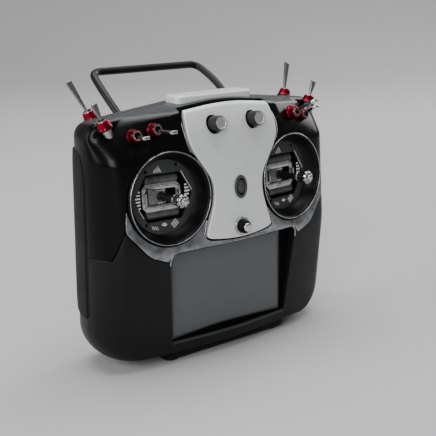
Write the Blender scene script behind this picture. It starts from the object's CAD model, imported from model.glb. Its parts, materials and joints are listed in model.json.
import json
import math

import bmesh
import bpy
import numpy as np
from mathutils import Matrix, Vector, geometry


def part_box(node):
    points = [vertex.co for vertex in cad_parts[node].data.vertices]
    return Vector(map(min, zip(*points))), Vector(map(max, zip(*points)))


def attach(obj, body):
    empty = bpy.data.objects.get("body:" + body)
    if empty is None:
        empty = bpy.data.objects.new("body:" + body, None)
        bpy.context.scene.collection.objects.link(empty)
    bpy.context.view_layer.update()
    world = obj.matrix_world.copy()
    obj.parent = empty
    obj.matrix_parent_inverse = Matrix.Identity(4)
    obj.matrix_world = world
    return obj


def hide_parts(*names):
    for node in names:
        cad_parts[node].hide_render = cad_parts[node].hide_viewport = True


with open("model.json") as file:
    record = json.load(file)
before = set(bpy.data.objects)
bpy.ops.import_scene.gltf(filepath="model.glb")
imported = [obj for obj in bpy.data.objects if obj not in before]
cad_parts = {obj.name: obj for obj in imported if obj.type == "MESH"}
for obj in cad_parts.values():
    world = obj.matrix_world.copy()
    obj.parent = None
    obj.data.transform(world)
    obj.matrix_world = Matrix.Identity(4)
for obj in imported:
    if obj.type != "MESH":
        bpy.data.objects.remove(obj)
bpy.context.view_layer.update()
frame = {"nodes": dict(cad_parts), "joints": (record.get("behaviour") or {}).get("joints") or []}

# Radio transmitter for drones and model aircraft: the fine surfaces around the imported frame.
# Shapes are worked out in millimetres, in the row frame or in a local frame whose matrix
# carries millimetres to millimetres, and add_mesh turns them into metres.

MM = 0.001
SIDES = {"left": -1, "right": 1}
joints = {joint["name"]: joint for joint in frame["joints"]}


# ------------------------------------------------------------------ frames of the parts

def basis(x_axis, y_axis, z_axis, origin):
    """Matrix from a local frame to the row frame, in millimetres."""
    matrix = Matrix((x_axis, y_axis, z_axis)).transposed().to_4x4()
    matrix.translation = origin
    return matrix


def joint_point(name):
    return Vector(joints[name]["pos_m"]) / MM


def joint_axis(name):
    return Vector(joints[name]["axis"]).normalized()


PIVOT_DEPTH = 15  # stick pivot behind the plane of its opening
SWITCH_PIVOT = 1.4  # lever pivot above the seat of a toggle switch


def opening_frame(label):
    """X to the right and Z up in the opening's plane, Y back into the casing."""
    across = joint_axis(f"stick_{label}_vertical")
    up = joint_axis(f"stick_{label}_sideways")
    back = up.cross(across)
    centre = joint_point(f"stick_{label}_vertical") - back * PIVOT_DEPTH
    return basis(across, back, up, centre)


OPENINGS = {label: opening_frame(label) for label in SIDES}
FACE_ORIGIN = (OPENINGS["left"].translation + OPENINGS["right"].translation) / 2
OPENING_X = OPENINGS["right"].translation.x
FACE = Matrix.Translation(FACE_ORIGIN)
# Local frame of turned parts: Z points out of the opening, towards the operator.
OUTWARD = Matrix.Rotation(math.radians(90), 4, "X")


# ------------------------------------------------------------------ mesh helpers

def add_mesh(name, verts, faces, material, body, matrix=FACE, replaces=(), sharp=50):
    """A piece from local millimetre points. Edges steeper than `sharp` degrees stay crisp."""
    if name in frame["nodes"]:
        name += "_visual"
    mesh = bpy.data.meshes.new(name)
    points = [(matrix @ Vector(v)) * MM for v in verts]
    mesh.from_pydata(points, [], [list(map(int, f)) for f in faces])
    mesh.validate()
    build = bmesh.new()
    build.from_mesh(mesh)
    bmesh.ops.remove_doubles(build, verts=build.verts, dist=1e-7)
    bmesh.ops.recalc_face_normals(build, faces=build.faces)
    build.to_mesh(mesh)
    build.free()
    mesh.polygons.foreach_set("use_smooth", [True] * len(mesh.polygons))
    mesh.set_sharp_from_angle(angle=math.radians(sharp))
    mesh.materials.append(material)
    piece = bpy.data.objects.new(name, mesh)
    bpy.context.scene.collection.objects.link(piece)
    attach(piece, body)
    if replaces:
        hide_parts(*([replaces] if isinstance(replaces, str) else replaces))
    return piece


BEVEL_ANGLE = 35


def bevel(piece, width, segments):
    """Rounds the piece's edges, `width` in millimetres."""
    modifier = piece.modifiers.new("edges", "BEVEL")
    modifier.width = width * MM
    modifier.segments = segments
    modifier.limit_method = "ANGLE"
    modifier.angle_limit = math.radians(BEVEL_ANGLE)
    modifier.harden_normals = True
    return piece


def filleted(points, radius, steps, closed=False):
    """The corners of a 2-D line replaced by short curves of about `radius`."""
    count = len(points)
    made = []
    for k, point in enumerate(points):
        here = Vector(point)
        if not closed and k in (0, count - 1):
            made.append(here)
            continue
        before = Vector(points[k - 1]) - here
        after = Vector(points[(k + 1) % count]) - here
        reach = min(radius, 0.45 * before.length, 0.45 * after.length)
        start = here + before.normalized() * reach
        end = here + after.normalized() * reach
        for i in range(steps + 1):
            t = i / steps
            made.append(start * (1 - t) ** 2 + here * 2 * t * (1 - t) + end * t * t)
    return [tuple(p) for p in made]


def loft(sections, closed_ends=True):
    """Rings of equal length joined in order; returns points and faces."""
    count = len(sections[0])
    verts = [p for ring in sections for p in ring]
    faces = []
    for k in range(len(sections) - 1):
        for i in range(count):
            j = (i + 1) % count
            faces.append((k * count + i, k * count + j, (k + 1) * count + j, (k + 1) * count + i))
    if closed_ends:
        faces.append(tuple(range(count))[::-1])
        faces.append(tuple((len(sections) - 1) * count + i for i in range(count)))
    return verts, faces


def ring_wall(sections):
    """Closed tube of sections, the last joined to the first."""
    verts, faces = loft(sections, closed_ends=False)
    count, start = len(sections[0]), (len(sections) - 1) * len(sections[0])
    faces += [(start + i, start + (i + 1) % count, (i + 1) % count, i) for i in range(count)]
    return verts, faces


def revolve(profile, segments, ripple=None):
    """Turns (radius, height) pairs about Z. `ripple(angle, height)` scales the radius."""
    sections = []
    for radius, height in profile:
        ring = []
        for i in range(segments):
            angle = 2 * math.pi * i / segments
            scale = ripple(angle, height) if ripple else 1
            reach = max(radius * scale, 1e-3)
            ring.append((reach * math.cos(angle), reach * math.sin(angle), height))
        sections.append(ring)
    if profile[0] == profile[-1]:
        return ring_wall(sections[:-1])
    return loft(sections)


def tube(path, radius, segments):
    """Round bar along a list of points, closed at both ends."""
    points = [Vector(p) for p in path]
    sections = []
    side = None
    for k, point in enumerate(points):
        ahead = points[min(k + 1, len(points) - 1)] - points[max(k - 1, 0)]
        ahead.normalize()
        if side is None:
            side = ahead.orthogonal().normalized()
        side = (side - ahead * side.dot(ahead)).normalized()
        other = ahead.cross(side)
        sections.append([
            point + radius * (math.cos(a) * side + math.sin(a) * other)
            for a in (2 * math.pi * i / segments for i in range(segments))
        ])
    return loft(sections)


def block(width, depth, height, centre=(0, 0, 0)):
    """Points and faces of a cuboid, ready to be bevelled."""
    cx, cy, cz = centre
    signs = [(-1, -1, -1), (1, -1, -1), (1, 1, -1), (-1, 1, -1)]
    low = [(cx + a * width / 2, cy + b * depth / 2, cz - height / 2) for a, b, _ in signs]
    high = [(x, y, cz + height / 2) for x, y, _ in low]
    return loft([low, high])


def merged(*shapes):
    """Several (points, faces) shapes as one."""
    verts, faces = [], []
    for points, polygons in shapes:
        start = len(verts)
        verts += [tuple(p) for p in points]
        faces += [tuple(start + i for i in polygon) for polygon in polygons]
    return verts, faces


def moved(shape, matrix):
    points, faces = shape
    return [tuple(matrix @ Vector(p)) for p in points], faces


def add_turned(name, profile, segments, material, body, matrix, replaces=(), sharp=40, ripple=None):
    """A piece turned about the local Z axis."""
    return add_mesh(name, *revolve(profile, segments, ripple), material, body, matrix, replaces, sharp)


# ------------------------------------------------------------------ trimmed sheets

def inside_polygon(points, polygon):
    """Even-odd test of many points against one closed line."""
    x, z = points[:, 0], points[:, 1]
    a = np.asarray(polygon, float)
    b = np.roll(a, -1, 0)
    result = np.zeros(len(points), bool)
    for (ax, az), (bx, bz) in zip(a, b):
        if az == bz:
            continue
        crosses = (az > z) != (bz > z)
        result ^= crosses & (x < ax + (z - az) * (bx - ax) / (bz - az))
    return result


def polygon_test(outer, holes=()):
    """Test for points inside one line and outside others."""
    def keep(points):
        kept = inside_polygon(points, outer)
        for hole in holes:
            kept &= ~inside_polygon(points, hole)
        return kept
    return keep


def distance_to(points, loops):
    """Distance of many points from the nearest of several closed lines."""
    best = np.full(len(points), 1e9)
    for loop in loops:
        a = np.asarray(loop, float)
        b = np.roll(a, -1, 0)
        for p, q in zip(a, b):
            along = q - p
            length = along @ along
            if length < 1e-12:
                continue
            t = np.clip(((points - p) @ along) / length, 0, 1)
            best = np.minimum(best, np.hypot(*(points - p - t[:, None] * along).T))
    return best


def triangulate(loops, keep, inner):
    """Triangles of the region `keep` says, with the loops as edges and `inner` as points."""
    coords, edges = [], []
    for loop in loops:
        start, count = len(coords), len(loop)
        coords += [Vector((float(x), float(z))) for x, z in loop]
        edges += [(start + i, start + (i + 1) % count) for i in range(count)]
    coords += [Vector((float(x), float(z))) for x, z in inner]
    out = geometry.delaunay_2d_cdt(coords, edges, [], 0, 1e-4, False)
    points = np.array([tuple(p) for p in out[0]])
    tris = np.array([tuple(f) for f in out[2]])
    tris = tris[keep(points[tris].mean(1))]
    a, b, c = (points[tris[:, k]] for k in range(3))
    area = (b[:, 0] - a[:, 0]) * (c[:, 1] - a[:, 1]) - (b[:, 1] - a[:, 1]) * (c[:, 0] - a[:, 0])
    tris = tris[np.abs(area) > 1e-9]
    area = area[np.abs(area) > 1e-9]
    tris[area < 0] = tris[area < 0][:, ::-1]
    used, renamed = np.unique(tris, return_inverse=True)
    return points[used], renamed.reshape(-1, 3)


def border_loops(tris):
    """The border's directed edges chained into loops of point numbers."""
    directed = {(int(t[k]), int(t[(k + 1) % 3])) for t in tris for k in range(3)}
    after = {}
    for a, b in sorted(directed):
        if (b, a) not in directed:
            after.setdefault(a, []).append(b)
    loops = []
    for start in sorted(after):
        while after[start]:
            loop, here = [start], after[start].pop()
            while here != start:
                loop.append(here)
                here = after[here].pop()
            loops.append(loop)
    return loops


FLANGE_STEPS = 4


def shell(points, tris, radius, depth):
    """A closed solid from a sheet: rounded border, wall and inner surface.
    The sheet's outer side is the one its triangles face."""
    a, b, c = (points[tris[:, k]] for k in range(3))
    face_normals = np.cross(b - a, c - a)
    normals = np.zeros_like(points)
    for k in range(3):
        np.add.at(normals, tris[:, k], face_normals)
    normals /= np.maximum(np.linalg.norm(normals, axis=1), 1e-12)[:, None]
    count = len(points)
    verts = list(map(tuple, points)) + list(map(tuple, points - normals * depth))
    faces = [tuple(t) for t in tris] + [tuple(t[::-1] + count) for t in tris]
    for loop in border_loops(tris):
        ring = np.array(loop)
        ahead = points[np.roll(ring, -1)] - points[np.roll(ring, 1)]
        outward = np.cross(ahead, normals[ring])
        outward /= np.maximum(np.linalg.norm(outward, axis=1), 1e-12)[:, None]
        rows = [ring]
        for k in range(1, FLANGE_STEPS + 2):
            turn = math.radians(90) * min(k / FLANGE_STEPS, 1)
            drop = depth if k > FLANGE_STEPS else radius * (1 - math.cos(turn))
            place = points[ring] + outward * radius * math.sin(turn) - normals[ring] * drop
            rows.append(np.arange(len(verts), len(verts) + len(ring)))
            verts += list(map(tuple, place))
        rows.append(ring + count)
        for near, far in zip(rows, rows[1:]):
            for i in range(len(ring)):
                j = (i + 1) % len(ring)
                faces.append((near[j], near[i], far[i], far[j]))
    return verts, faces


def grid_points(low, high, spacing):
    """Staggered rows of points that fill a rectangle."""
    rows = []
    step = spacing * math.sqrt(3) / 2
    for k, z in enumerate(np.arange(low[1], high[1], step)):
        x = np.arange(low[0] + (k % 2) * spacing / 2, high[0], spacing)
        rows.append(np.stack([x, np.full_like(x, z)], 1))
    return np.concatenate(rows)


def sheet(loops, keep, lift, spacing, radius, depth, extra=None, facing=-1):
    """Solid with a trimmed outer surface. `lift(points)` gives Y for [x, z] points, and
    `facing` is -1 for a surface seen from the front and 1 for one seen from behind.
    `extra` holds the points of the casing's rounded edge, whose rim is the last loop."""
    corners = np.concatenate([np.asarray(loop, float) for loop in loops])
    inner = grid_points(corners.min(0), corners.max(0), spacing)
    inner = inner[keep(inner)]
    inner = inner[distance_to(inner, loops) > 0.5 * min(spacing, 1.2)]
    if extra is not None:
        edge = extra["points"][keep(extra["points"])]
        edge = edge[distance_to(edge, loops[:-1]) > 0.5]
        inner = np.concatenate([inner[extra["away"](inner)], edge])
    points, tris = triangulate(loops, keep, inner)
    if facing > 0:
        tris = tris[:, ::-1]
    solid = np.stack([points[:, 0], lift(points), points[:, 1]], 1)
    return shell(solid, tris, radius, depth)


# ------------------------------------------------------------------ casing surfaces

# Outline seen from the front, clockwise from the middle of the top edge: x, z, radius.
OUTLINE = np.array([
    (0, 59.5, 200),
    (97.5, 49, 13),
    (99, -109.5, 25),
    (-99, -109.5, 25),
    (-97.5, 49, 13),
])
CORNER = OUTLINE[:, :2]
ALONG = np.roll(CORNER, -1, 0) - CORNER
ALONG /= np.linalg.norm(ALONG, axis=1)[:, None]
INWARD = np.stack([ALONG[:, 1], -ALONG[:, 0]], 1)
TURN = np.arccos(np.sum(np.roll(ALONG, 1, 0) * ALONG, axis=1))
# Reach of the rounded edge inwards from the top, side, bottom, side and top outline.
FRONT_ROUND = np.array([4.5, 14, 4, 14, 4.5])
BACK_ROUND = np.array([13, 16, 10, 16, 13])
PARTING_Y = 28
BACK_Y = 59.5
BACK_CROWN = 0.0004  # the back's rise towards its middle, per square millimetre
SPLAY = math.tan(math.radians(5.2))
LEAN = math.tan(math.radians(3.9))
GAP = 0.3


def fillet_frame(shift, k):
    """Centre and radius of the outline's corner k when its edges move inwards by `shift`."""
    before = k - 1
    slide = (shift[k] - shift[before] * np.cos(TURN[k])) / np.sin(TURN[k])
    corner = CORNER[k] + np.outer(shift[before], INWARD[before]) - np.outer(slide, ALONG[before])
    bend = np.maximum(OUTLINE[k, 2] - (shift[before] + shift[k]) / 2, 0.6)
    start = corner - np.outer(bend * np.tan(TURN[k] / 2), ALONG[before])
    return start + bend[:, None] * INWARD[before], bend


def depth_inside(points, shift):
    """How far points lie inside the outline whose edges moved inwards by shift[edge]."""
    depth = np.min([(points - CORNER[k]) @ INWARD[k] - shift[k] for k in range(5)], axis=0)
    for k in range(5):
        centre, bend = fillet_frame(shift, k)
        arm = points - centre
        sector = (arm @ ALONG[k - 1] > 0) & (arm @ ALONG[k] < 0)
        depth = np.where(sector, np.minimum(depth, bend - np.hypot(*arm.T)), depth)
    return depth


def edge_share(points, reach):
    """0 on the casing's outline, 1 where its face begins, for many points."""
    low = np.zeros(len(points))
    high = np.ones(len(points))
    for _ in range(22):
        middle = (low + high) / 2
        inside = depth_inside(points, np.outer(reach, middle)) > 0
        low = np.where(inside, middle, low)
        high = np.where(inside, high, middle)
    return np.where(high > 0.9999, 1, (low + high) / 2)


FOLD = 12  # the two splayed halves of the face meet over about this width
BROW_Z, BROW_CURVE = 25, 0.0105  # the face curves back above this height
CHEEK_X, CHEEK_CURVE = 60, 0.003  # and outside this distance from the middle
CORNER_X, CORNER_TWIST = 45, 0.0125  # and further towards its upper corners
CHIN_Z, CHIN_SLOPE, CHIN_BLEND = -31, 0.172, 8  # below this height it slopes back, after a short curve
DEEPEST = 21


def front_depth(x, z):
    """Depth of the casing's face behind the middle of the stick openings, without its rounded edge."""
    across = np.hypot(x, FOLD)
    above = np.maximum(0, z - BROW_Z)
    outside = np.maximum(0, np.abs(x) - CHEEK_X)
    corner = CORNER_TWIST * np.maximum(0, np.abs(x) - CORNER_X) * above
    below = np.maximum(0, CHIN_Z - z)
    chin = np.where(below < CHIN_BLEND, CHIN_SLOPE * below * below / (2 * CHIN_BLEND),
                    CHIN_SLOPE * (below - CHIN_BLEND / 2))
    plane = SPLAY * (across - OPENING_X) + LEAN * z
    bent = plane + BROW_CURVE * above ** 2 + CHEEK_CURVE * outside ** 2 + corner + chin
    return np.minimum(DEEPEST, bent)


def rounding(points, reach):
    """0 on the casing's outline, 1 where its face begins, along a quarter circle."""
    share = edge_share(points, reach)
    return np.sqrt(np.maximum(0, 1 - (1 - share) ** 2))


def front_surface(points, rise=0.0):
    face = front_depth(points[:, 0], points[:, 1])
    return PARTING_Y + (face - PARTING_Y) * rounding(points, FRONT_ROUND) - rise


def back_surface(points, rise=0.0):
    face = BACK_Y - BACK_CROWN * points[:, 0] ** 2
    return PARTING_Y + (face - PARTING_Y) * rounding(points, BACK_ROUND) + rise


RING_SPACING = 3.0


def outline_ring(share, reach):
    """Points round the outline when its edges moved inwards by share * reach."""
    shift = (reach * share)[:, None]
    arcs = []
    for k in range(5):
        centre, bend = fillet_frame(shift, k)
        start = -INWARD[k - 1] * bend[0]
        steps = max(3, int(TURN[k] * OUTLINE[k, 2] / 2.0))
        arc = []
        for i in range(steps + 1):
            angle = -TURN[k] * i / steps
            cos, sin = math.cos(angle), math.sin(angle)
            arc.append(centre[0] + (start[0] * cos - start[1] * sin, start[0] * sin + start[1] * cos))
        arcs.append(arc)
    ring = []
    for k, arc in enumerate(arcs):
        following = arcs[(k + 1) % 5][0]
        count = max(2, int(np.linalg.norm(CORNER[(k + 1) % 5] - CORNER[k]) / RING_SPACING))
        ring += arc
        ring += [arc[-1] + (following - arc[-1]) * i / count for i in range(1, count)]
    return np.array(ring)


RING_TURNS = 14


def edge_points(reach):
    """Extra points that follow the rounded edge, and the test for points clear of it."""
    shares = [1 - math.cos(math.radians(90) * k / RING_TURNS) for k in range(1, RING_TURNS + 1)]
    points = np.concatenate([outline_ring(share, reach) for share in shares])
    return {"points": points, "away": lambda p: depth_inside(p, np.outer(reach, np.ones(len(p)))) > 1}


# ------------------------------------------------------------------ outlines of the face

def mirrored(half):
    """Right-hand half outline from bottom centre to top centre, completed on the left."""
    return [tuple(p) for p in half] + [(-x, z) for x, z in reversed(half) if x > 0]


def offset(loop, distance):
    """A closed line moved outwards by `distance`."""
    a = np.asarray(loop, float)
    ahead = np.roll(a, -1, 0) - a
    ahead /= np.maximum(np.linalg.norm(ahead, axis=1), 1e-9)[:, None]
    behind = np.roll(ahead, 1, 0)
    area = np.sum(a[:, 0] * np.roll(a[:, 1], -1) - np.roll(a[:, 0], -1) * a[:, 1])
    turn = 1 if area > 0 else -1
    out = np.stack([ahead[:, 1] + behind[:, 1], -(ahead[:, 0] + behind[:, 0])], 1) * turn
    out /= np.maximum(np.linalg.norm(out, axis=1), 1e-9)[:, None]
    outward = np.stack([ahead[:, 1], -ahead[:, 0]], 1) * turn
    stretch = 1 / np.maximum(np.sum(out * outward, axis=1), 0.5)
    return a + out * (distance * stretch)[:, None]


def resampled(loop, spacing):
    """A closed line with its edges split so that none is longer than `spacing`."""
    a = np.asarray(loop, float)
    made = []
    for p, q in zip(a, np.roll(a, -1, 0)):
        count = max(1, math.ceil(np.linalg.norm(q - p) / spacing))
        made += [p + (q - p) * i / count for i in range(count)]
    return np.array(made)


def smooth_through(points, steps=6):
    """Open Catmull-Rom curve through 2-D points."""
    p = [np.asarray(q, float) for q in points]
    p = [2 * p[0] - p[1]] + p + [2 * p[-1] - p[-2]]
    made = []
    for k in range(1, len(p) - 2):
        for i in range(steps):
            t = i / steps
            made.append(0.5 * (
                2 * p[k] + (p[k + 1] - p[k - 1]) * t
                + (2 * p[k - 1] - 5 * p[k] + 4 * p[k + 1] - p[k + 2]) * t ** 2
                + (3 * p[k] - p[k - 1] - 3 * p[k + 1] + p[k + 2]) * t ** 3))
    made.append(p[-2])
    return [tuple(q) for q in made]


FAR = 125  # past the casing on every side
SEAM_Z = -36
OPENING_RADIUS = 30.9
TRIM_TIP, TRIM_SHOULDER, TRIM_ELBOW = (84.6, -4), (86, -18), (70, -36)
TRIM_INNER_Z = -18  # the trim starts this low beside the centre panel
SCREEN_TOP, SCREEN_BOTTOM = -35.6, -99.4
SCREEN_TOP_HALF, SCREEN_BOTTOM_HALF, SCREEN_CORNER = 55.2, 50.2, 8

PANEL_SIDE = [
    (25, -30.4), (28, -28.4), (27.6, -25), (25.2, -18), (22, -8), (21, 1), (22.8, 9), (28, 17),
    (33.8, 25.5), (37.2, 33), (38, 40), (37, 48), (35.8, 53), (34.6, 55.2), (31.6, 55.9),
]
PANEL_BOTTOM, PANEL_TOP = -32.6, 56.9
PANEL_RISE = 1.9


def panel_head(x):
    """Height of the panel's top edge, which falls gently to both sides."""
    return PANEL_TOP - (x / 30) ** 2 * 0.8


def panel_loop():
    foot = [(x, PANEL_BOTTOM + (x / 25) ** 2 * 2.2) for x in (0, 6, 12, 18, 22)]
    head = [(x, panel_head(x)) for x in (24, 18, 12, 6, 0)]
    return mirrored(foot + smooth_through(PANEL_SIDE) + head)


def screen_loop(margin):
    """Outline of the screen's opening, moved outwards by `margin`."""
    top, bottom = SCREEN_TOP + margin, SCREEN_BOTTOM - margin
    top_half, bottom_half = SCREEN_TOP_HALF + margin, SCREEN_BOTTOM_HALF + margin
    corner = filleted([(0, bottom), (bottom_half, bottom), (top_half, top), (0, top)],
                      SCREEN_CORNER + margin, 8)
    foot = filleted([(0, bottom), (bottom_half, bottom), (top_half, top)], 1.6, 4)
    lower = [(0, bottom)] + foot[1:-1]
    upper = [p for p in corner if p[1] > top - SCREEN_CORNER - margin - 0.5 and p[0] > 0]
    return mirrored(lower + upper + [(0, top)])


def opening_loop(side, radius, count=144):
    """The rim of a stick opening, seen along Y."""
    matrix = OPENINGS["left" if side < 0 else "right"]
    loop = []
    for k in range(count):
        angle = 2 * math.pi * k / count
        p = matrix @ Vector((radius * math.cos(angle), 0, radius * math.sin(angle))) - FACE_ORIGIN
        loop.append((p.x, p.z))
    return loop


# The line that the trim and the lower shell share over the screen, from the middle outwards.
SCREEN_ARCH = [(0, SCREEN_TOP), (SCREEN_TOP_HALF - 6, SCREEN_TOP), (SCREEN_TOP_HALF - 1.2, SCREEN_TOP - 1)]
ARCH_END = (SCREEN_TOP_HALF + 2.2, SCREEN_TOP - 5.4)
SEAM_START = (93, SEAM_Z)

TRIM_LOOP = mirrored(
    [*SCREEN_ARCH, ARCH_END]
    + filleted([ARCH_END, TRIM_ELBOW, TRIM_SHOULDER, TRIM_TIP], 3, 5)[1:]
    + [(0, TRIM_INNER_Z)])
UPPER_LOOP = mirrored([
    (0, TRIM_INNER_Z), TRIM_TIP, TRIM_SHOULDER, SEAM_START, (FAR, SEAM_Z), (FAR, FAR), (0, FAR)])
LOWER_LOOP = mirrored(
    [(0, -FAR), (FAR, -FAR), (FAR, SEAM_Z), SEAM_START]
    + filleted([SEAM_START, TRIM_SHOULDER, TRIM_ELBOW, ARCH_END], 3, 5)[1:]
    + SCREEN_ARCH[::-1])


# ------------------------------------------------------------------ materials

class Look:
    """A procedural material: a Principled shader and the nodes that feed it."""

    def __init__(self, slot, name=None, **values):
        self.material = bpy.data.materials.new(name or slot)
        self.material["slot"] = slot
        self.material.use_nodes = True
        self.nodes = self.material.node_tree.nodes
        self.links = self.material.node_tree.links
        self.shader = self.nodes["Principled BSDF"]
        self.coords = self.nodes.new("ShaderNodeTexCoord")
        for socket, value in values.items():
            self.shader.inputs[socket.replace("_", " ")].default_value = value

    def link(self, source, target):
        self.links.new(source, target)

    def noise(self, scale, detail=4.0, roughness=0.6, stretch=(1, 1, 1)):
        mapping = self.nodes.new("ShaderNodeMapping")
        mapping.inputs["Scale"].default_value = stretch
        self.link(self.coords.outputs["Object"], mapping.inputs["Vector"])
        node = self.nodes.new("ShaderNodeTexNoise")
        node.inputs["Scale"].default_value = scale
        node.inputs["Detail"].default_value = detail
        node.inputs["Roughness"].default_value = roughness
        self.link(mapping.outputs["Vector"], node.inputs["Vector"])
        return node.outputs["Fac"]

    def spread(self, source, low, high, start=0.3, end=0.7):
        """Carries a 0 to 1 pattern to the range low to high."""
        node = self.nodes.new("ShaderNodeMapRange")
        node.inputs["From Min"].default_value = start
        node.inputs["From Max"].default_value = end
        node.inputs["To Min"].default_value = low
        node.inputs["To Max"].default_value = high
        self.link(source, node.inputs["Value"])
        return node.outputs["Result"]

    def colour(self, source, dark, light):
        """Base colour that runs from dark to light with a 0 to 1 pattern."""
        ramp = self.nodes.new("ShaderNodeValToRGB")
        ramp.color_ramp.elements[0].position = 0.32
        ramp.color_ramp.elements[1].position = 0.68
        ramp.color_ramp.elements[0].color = (*dark, 1)
        ramp.color_ramp.elements[1].color = (*light, 1)
        self.link(source, ramp.inputs["Fac"])
        self.link(ramp.outputs["Color"], self.shader.inputs["Base Color"])
        return ramp

    def film(self, ramp, tone, start=0.74, end=0.86):
        """Fine pale film that settles on faces that look upwards."""
        split = self.nodes.new("ShaderNodeSeparateXYZ")
        self.link(self.coords.outputs["Normal"], split.inputs["Vector"])
        cover = self.spread(split.outputs["Z"], 0, 1, start, end)
        uneven = self.spread(self.noise(170, 5, 0.65, (1, 3, 1)), 0.75, 1.0)
        both = self.nodes.new("ShaderNodeMath")
        both.operation = "MULTIPLY"
        self.link(cover, both.inputs[0])
        self.link(uneven, both.inputs[1])
        mix = self.nodes.new("ShaderNodeMix")
        mix.data_type = "RGBA"
        mix.inputs["B"].default_value = (*tone, 1)
        self.link(both.outputs["Value"], mix.inputs["Factor"])
        self.link(ramp.outputs["Color"], mix.inputs["A"])
        self.link(mix.outputs["Result"], self.shader.inputs["Base Color"])

    def rough(self, source, low, high):
        self.link(self.spread(source, low, high), self.shader.inputs["Roughness"])

    def bump(self, source, height):
        """Surface relief; `height` is in millimetres."""
        node = self.nodes.new("ShaderNodeBump")
        node.inputs["Strength"].default_value = 1.0
        node.inputs["Distance"].default_value = height * MM
        self.link(source, node.inputs["Height"])
        self.link(node.outputs["Normal"], self.shader.inputs["Normal"])


def plastic(slot, dark, light, rough, grain, relief, name=None, film=None, **values):
    """Moulded plastic: faint tone change, uneven polish and moulded grain."""
    look = Look(slot, name, **values)
    ramp = look.colour(look.noise(38), dark, light)
    if film:
        look.film(ramp, film)
    look.rough(look.noise(90, 5), *rough)
    look.bump(look.noise(grain, 3), relief)
    return look.material


def metal(slot, dark, light, rough, grain, relief, stretch=(1, 1, 1), name=None, **values):
    """Metal finish with drawn or mottled grain."""
    values.setdefault("Metallic", 1.0)
    look = Look(slot, name, **values)
    look.colour(look.noise(grain / 4, 4, 0.6, stretch), dark, light)
    look.rough(look.noise(grain / 2, 4, 0.6, stretch), *rough)
    look.bump(look.noise(grain, 3, 0.5, stretch), relief)
    return look.material


GLOSS = plastic("gloss_shell", (0.0012,) * 3, (0.002, 0.002, 0.0023), (0.14, 0.24), 700, 0.004,
                film=(0.085, 0.087, 0.09), Specular_IOR_Level=0.14)
SATIN = plastic("satin_shell", (0.0028, 0.0029, 0.003), (0.0044, 0.0045, 0.0047), (0.34, 0.46), 2600, 0.02,
                film=(0.06, 0.061, 0.063), Specular_IOR_Level=0.22)
TRIM = metal("metallic_trim", (0.16, 0.161, 0.165), (0.42, 0.422, 0.43), (0.24, 0.4), 420, 0.03)
SILVER = metal("silver_panel", (0.74, 0.745, 0.755), (0.83, 0.835, 0.845), (0.36, 0.44), 3200, 0.008,
               Metallic=0.35)
RUBBER = plastic("grip_rubber", (0.0045,) * 3, (0.0075, 0.0075, 0.0078), (0.55, 0.75), 1500, 0.05,
                 Specular_IOR_Level=0.3)
BAR = plastic("coated_bar", (0.0035,) * 3, (0.0065, 0.0065, 0.007), (0.3, 0.42), 1100, 0.03,
              Specular_IOR_Level=0.3)
PLATE = plastic("face_plate", (0.02, 0.0205, 0.021), (0.04, 0.041, 0.042), (0.35, 0.5), 1400, 0.02,
                Specular_IOR_Level=0.4)
BLACK = plastic("face_plate", (0.0014,) * 3, (0.0024, 0.0024, 0.0025), (0.35, 0.5), 1400, 0.02,
                name="black_moulding", Specular_IOR_Level=0.15)
SPUN = metal("spun_silver", (0.66, 0.66, 0.67), (0.84, 0.84, 0.85), (0.3, 0.42), 1500, 0.01, (1, 1, 9))
CHROME = metal("chrome", (0.55, 0.55, 0.55), (0.75, 0.75, 0.76), (0.08, 0.2), 1200, 0.004, (3, 3, 1))
NICKEL = metal("nickel", (0.38, 0.37, 0.36), (0.55, 0.54, 0.52), (0.22, 0.35), 1300, 0.008)
RED = metal("red_anodised", (0.15, 0.005, 0.014), (0.3, 0.012, 0.03), (0.16, 0.28), 900, 0.006)
CRADLE = metal("cradle_silver", (0.3, 0.3, 0.31), (0.62, 0.62, 0.63), (0.12, 0.22), 700, 0.02)
BOARD = plastic("circuit_board", (0.008, 0.06, 0.025), (0.014, 0.1, 0.045), (0.3, 0.45), 900, 0.02)
WRAP = plastic("battery_wrap", (0.02, 0.06, 0.2), (0.03, 0.085, 0.27), (0.25, 0.4), 500, 0.04)
MASK = plastic("screen_glass", (0.003,) * 3, (0.005, 0.005, 0.0055), (0.05, 0.12), 200, 0.002,
               name="screen_mask", Coat_Weight=0.5)
BADGE_METAL = metal("face_plate", (0.06, 0.065, 0.07), (0.11, 0.115, 0.12), (0.3, 0.42), 1500, 0.01,
                    name="badge_metal", Metallic=0.7)
KNOB_SIDE = metal("spun_silver", (0.02, 0.02, 0.02), (0.045, 0.045, 0.045), (0.28, 0.4), 1500, 0.01,
                  name="knob_side", Metallic=0.8)
BEZEL = plastic("gloss_shell", (0.0012,) * 3, (0.002,) * 3, (0.3, 0.42), 900, 0.01, name="bezel_gloss",
                Specular_IOR_Level=0.2)
ROLL = metal("cradle_silver", (0.07, 0.07, 0.07), (0.13, 0.13, 0.135), (0.35, 0.5), 900, 0.01,
             name="dust_roll", Metallic=0.6)
BLOCK = metal("cradle_silver", (0.14, 0.14, 0.14), (0.24, 0.24, 0.24), (0.4, 0.55), 900, 0.01,
              name="stick_block", Metallic=0.5)
RIM_METAL = metal("metallic_trim", (0.3, 0.3, 0.31), (0.5, 0.5, 0.51), (0.2, 0.34), 900, 0.004,
                  name="rim_metal")
LEVER = metal("chrome", (0.2, 0.2, 0.205), (0.36, 0.36, 0.365), (0.2, 0.34), 1500, 0.006, (4, 4, 1),
              name="lever_steel")
TIP = metal("chrome", (0.2, 0.2, 0.2), (0.42, 0.42, 0.43), (0.1, 0.22), 1200, 0.006, (3, 3, 1),
            name="fluted_chrome")
SILL = plastic("satin_shell", (0.05,) * 3, (0.08,) * 3, (0.3, 0.4), 900, 0.004, name="worn_edge")
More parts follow.
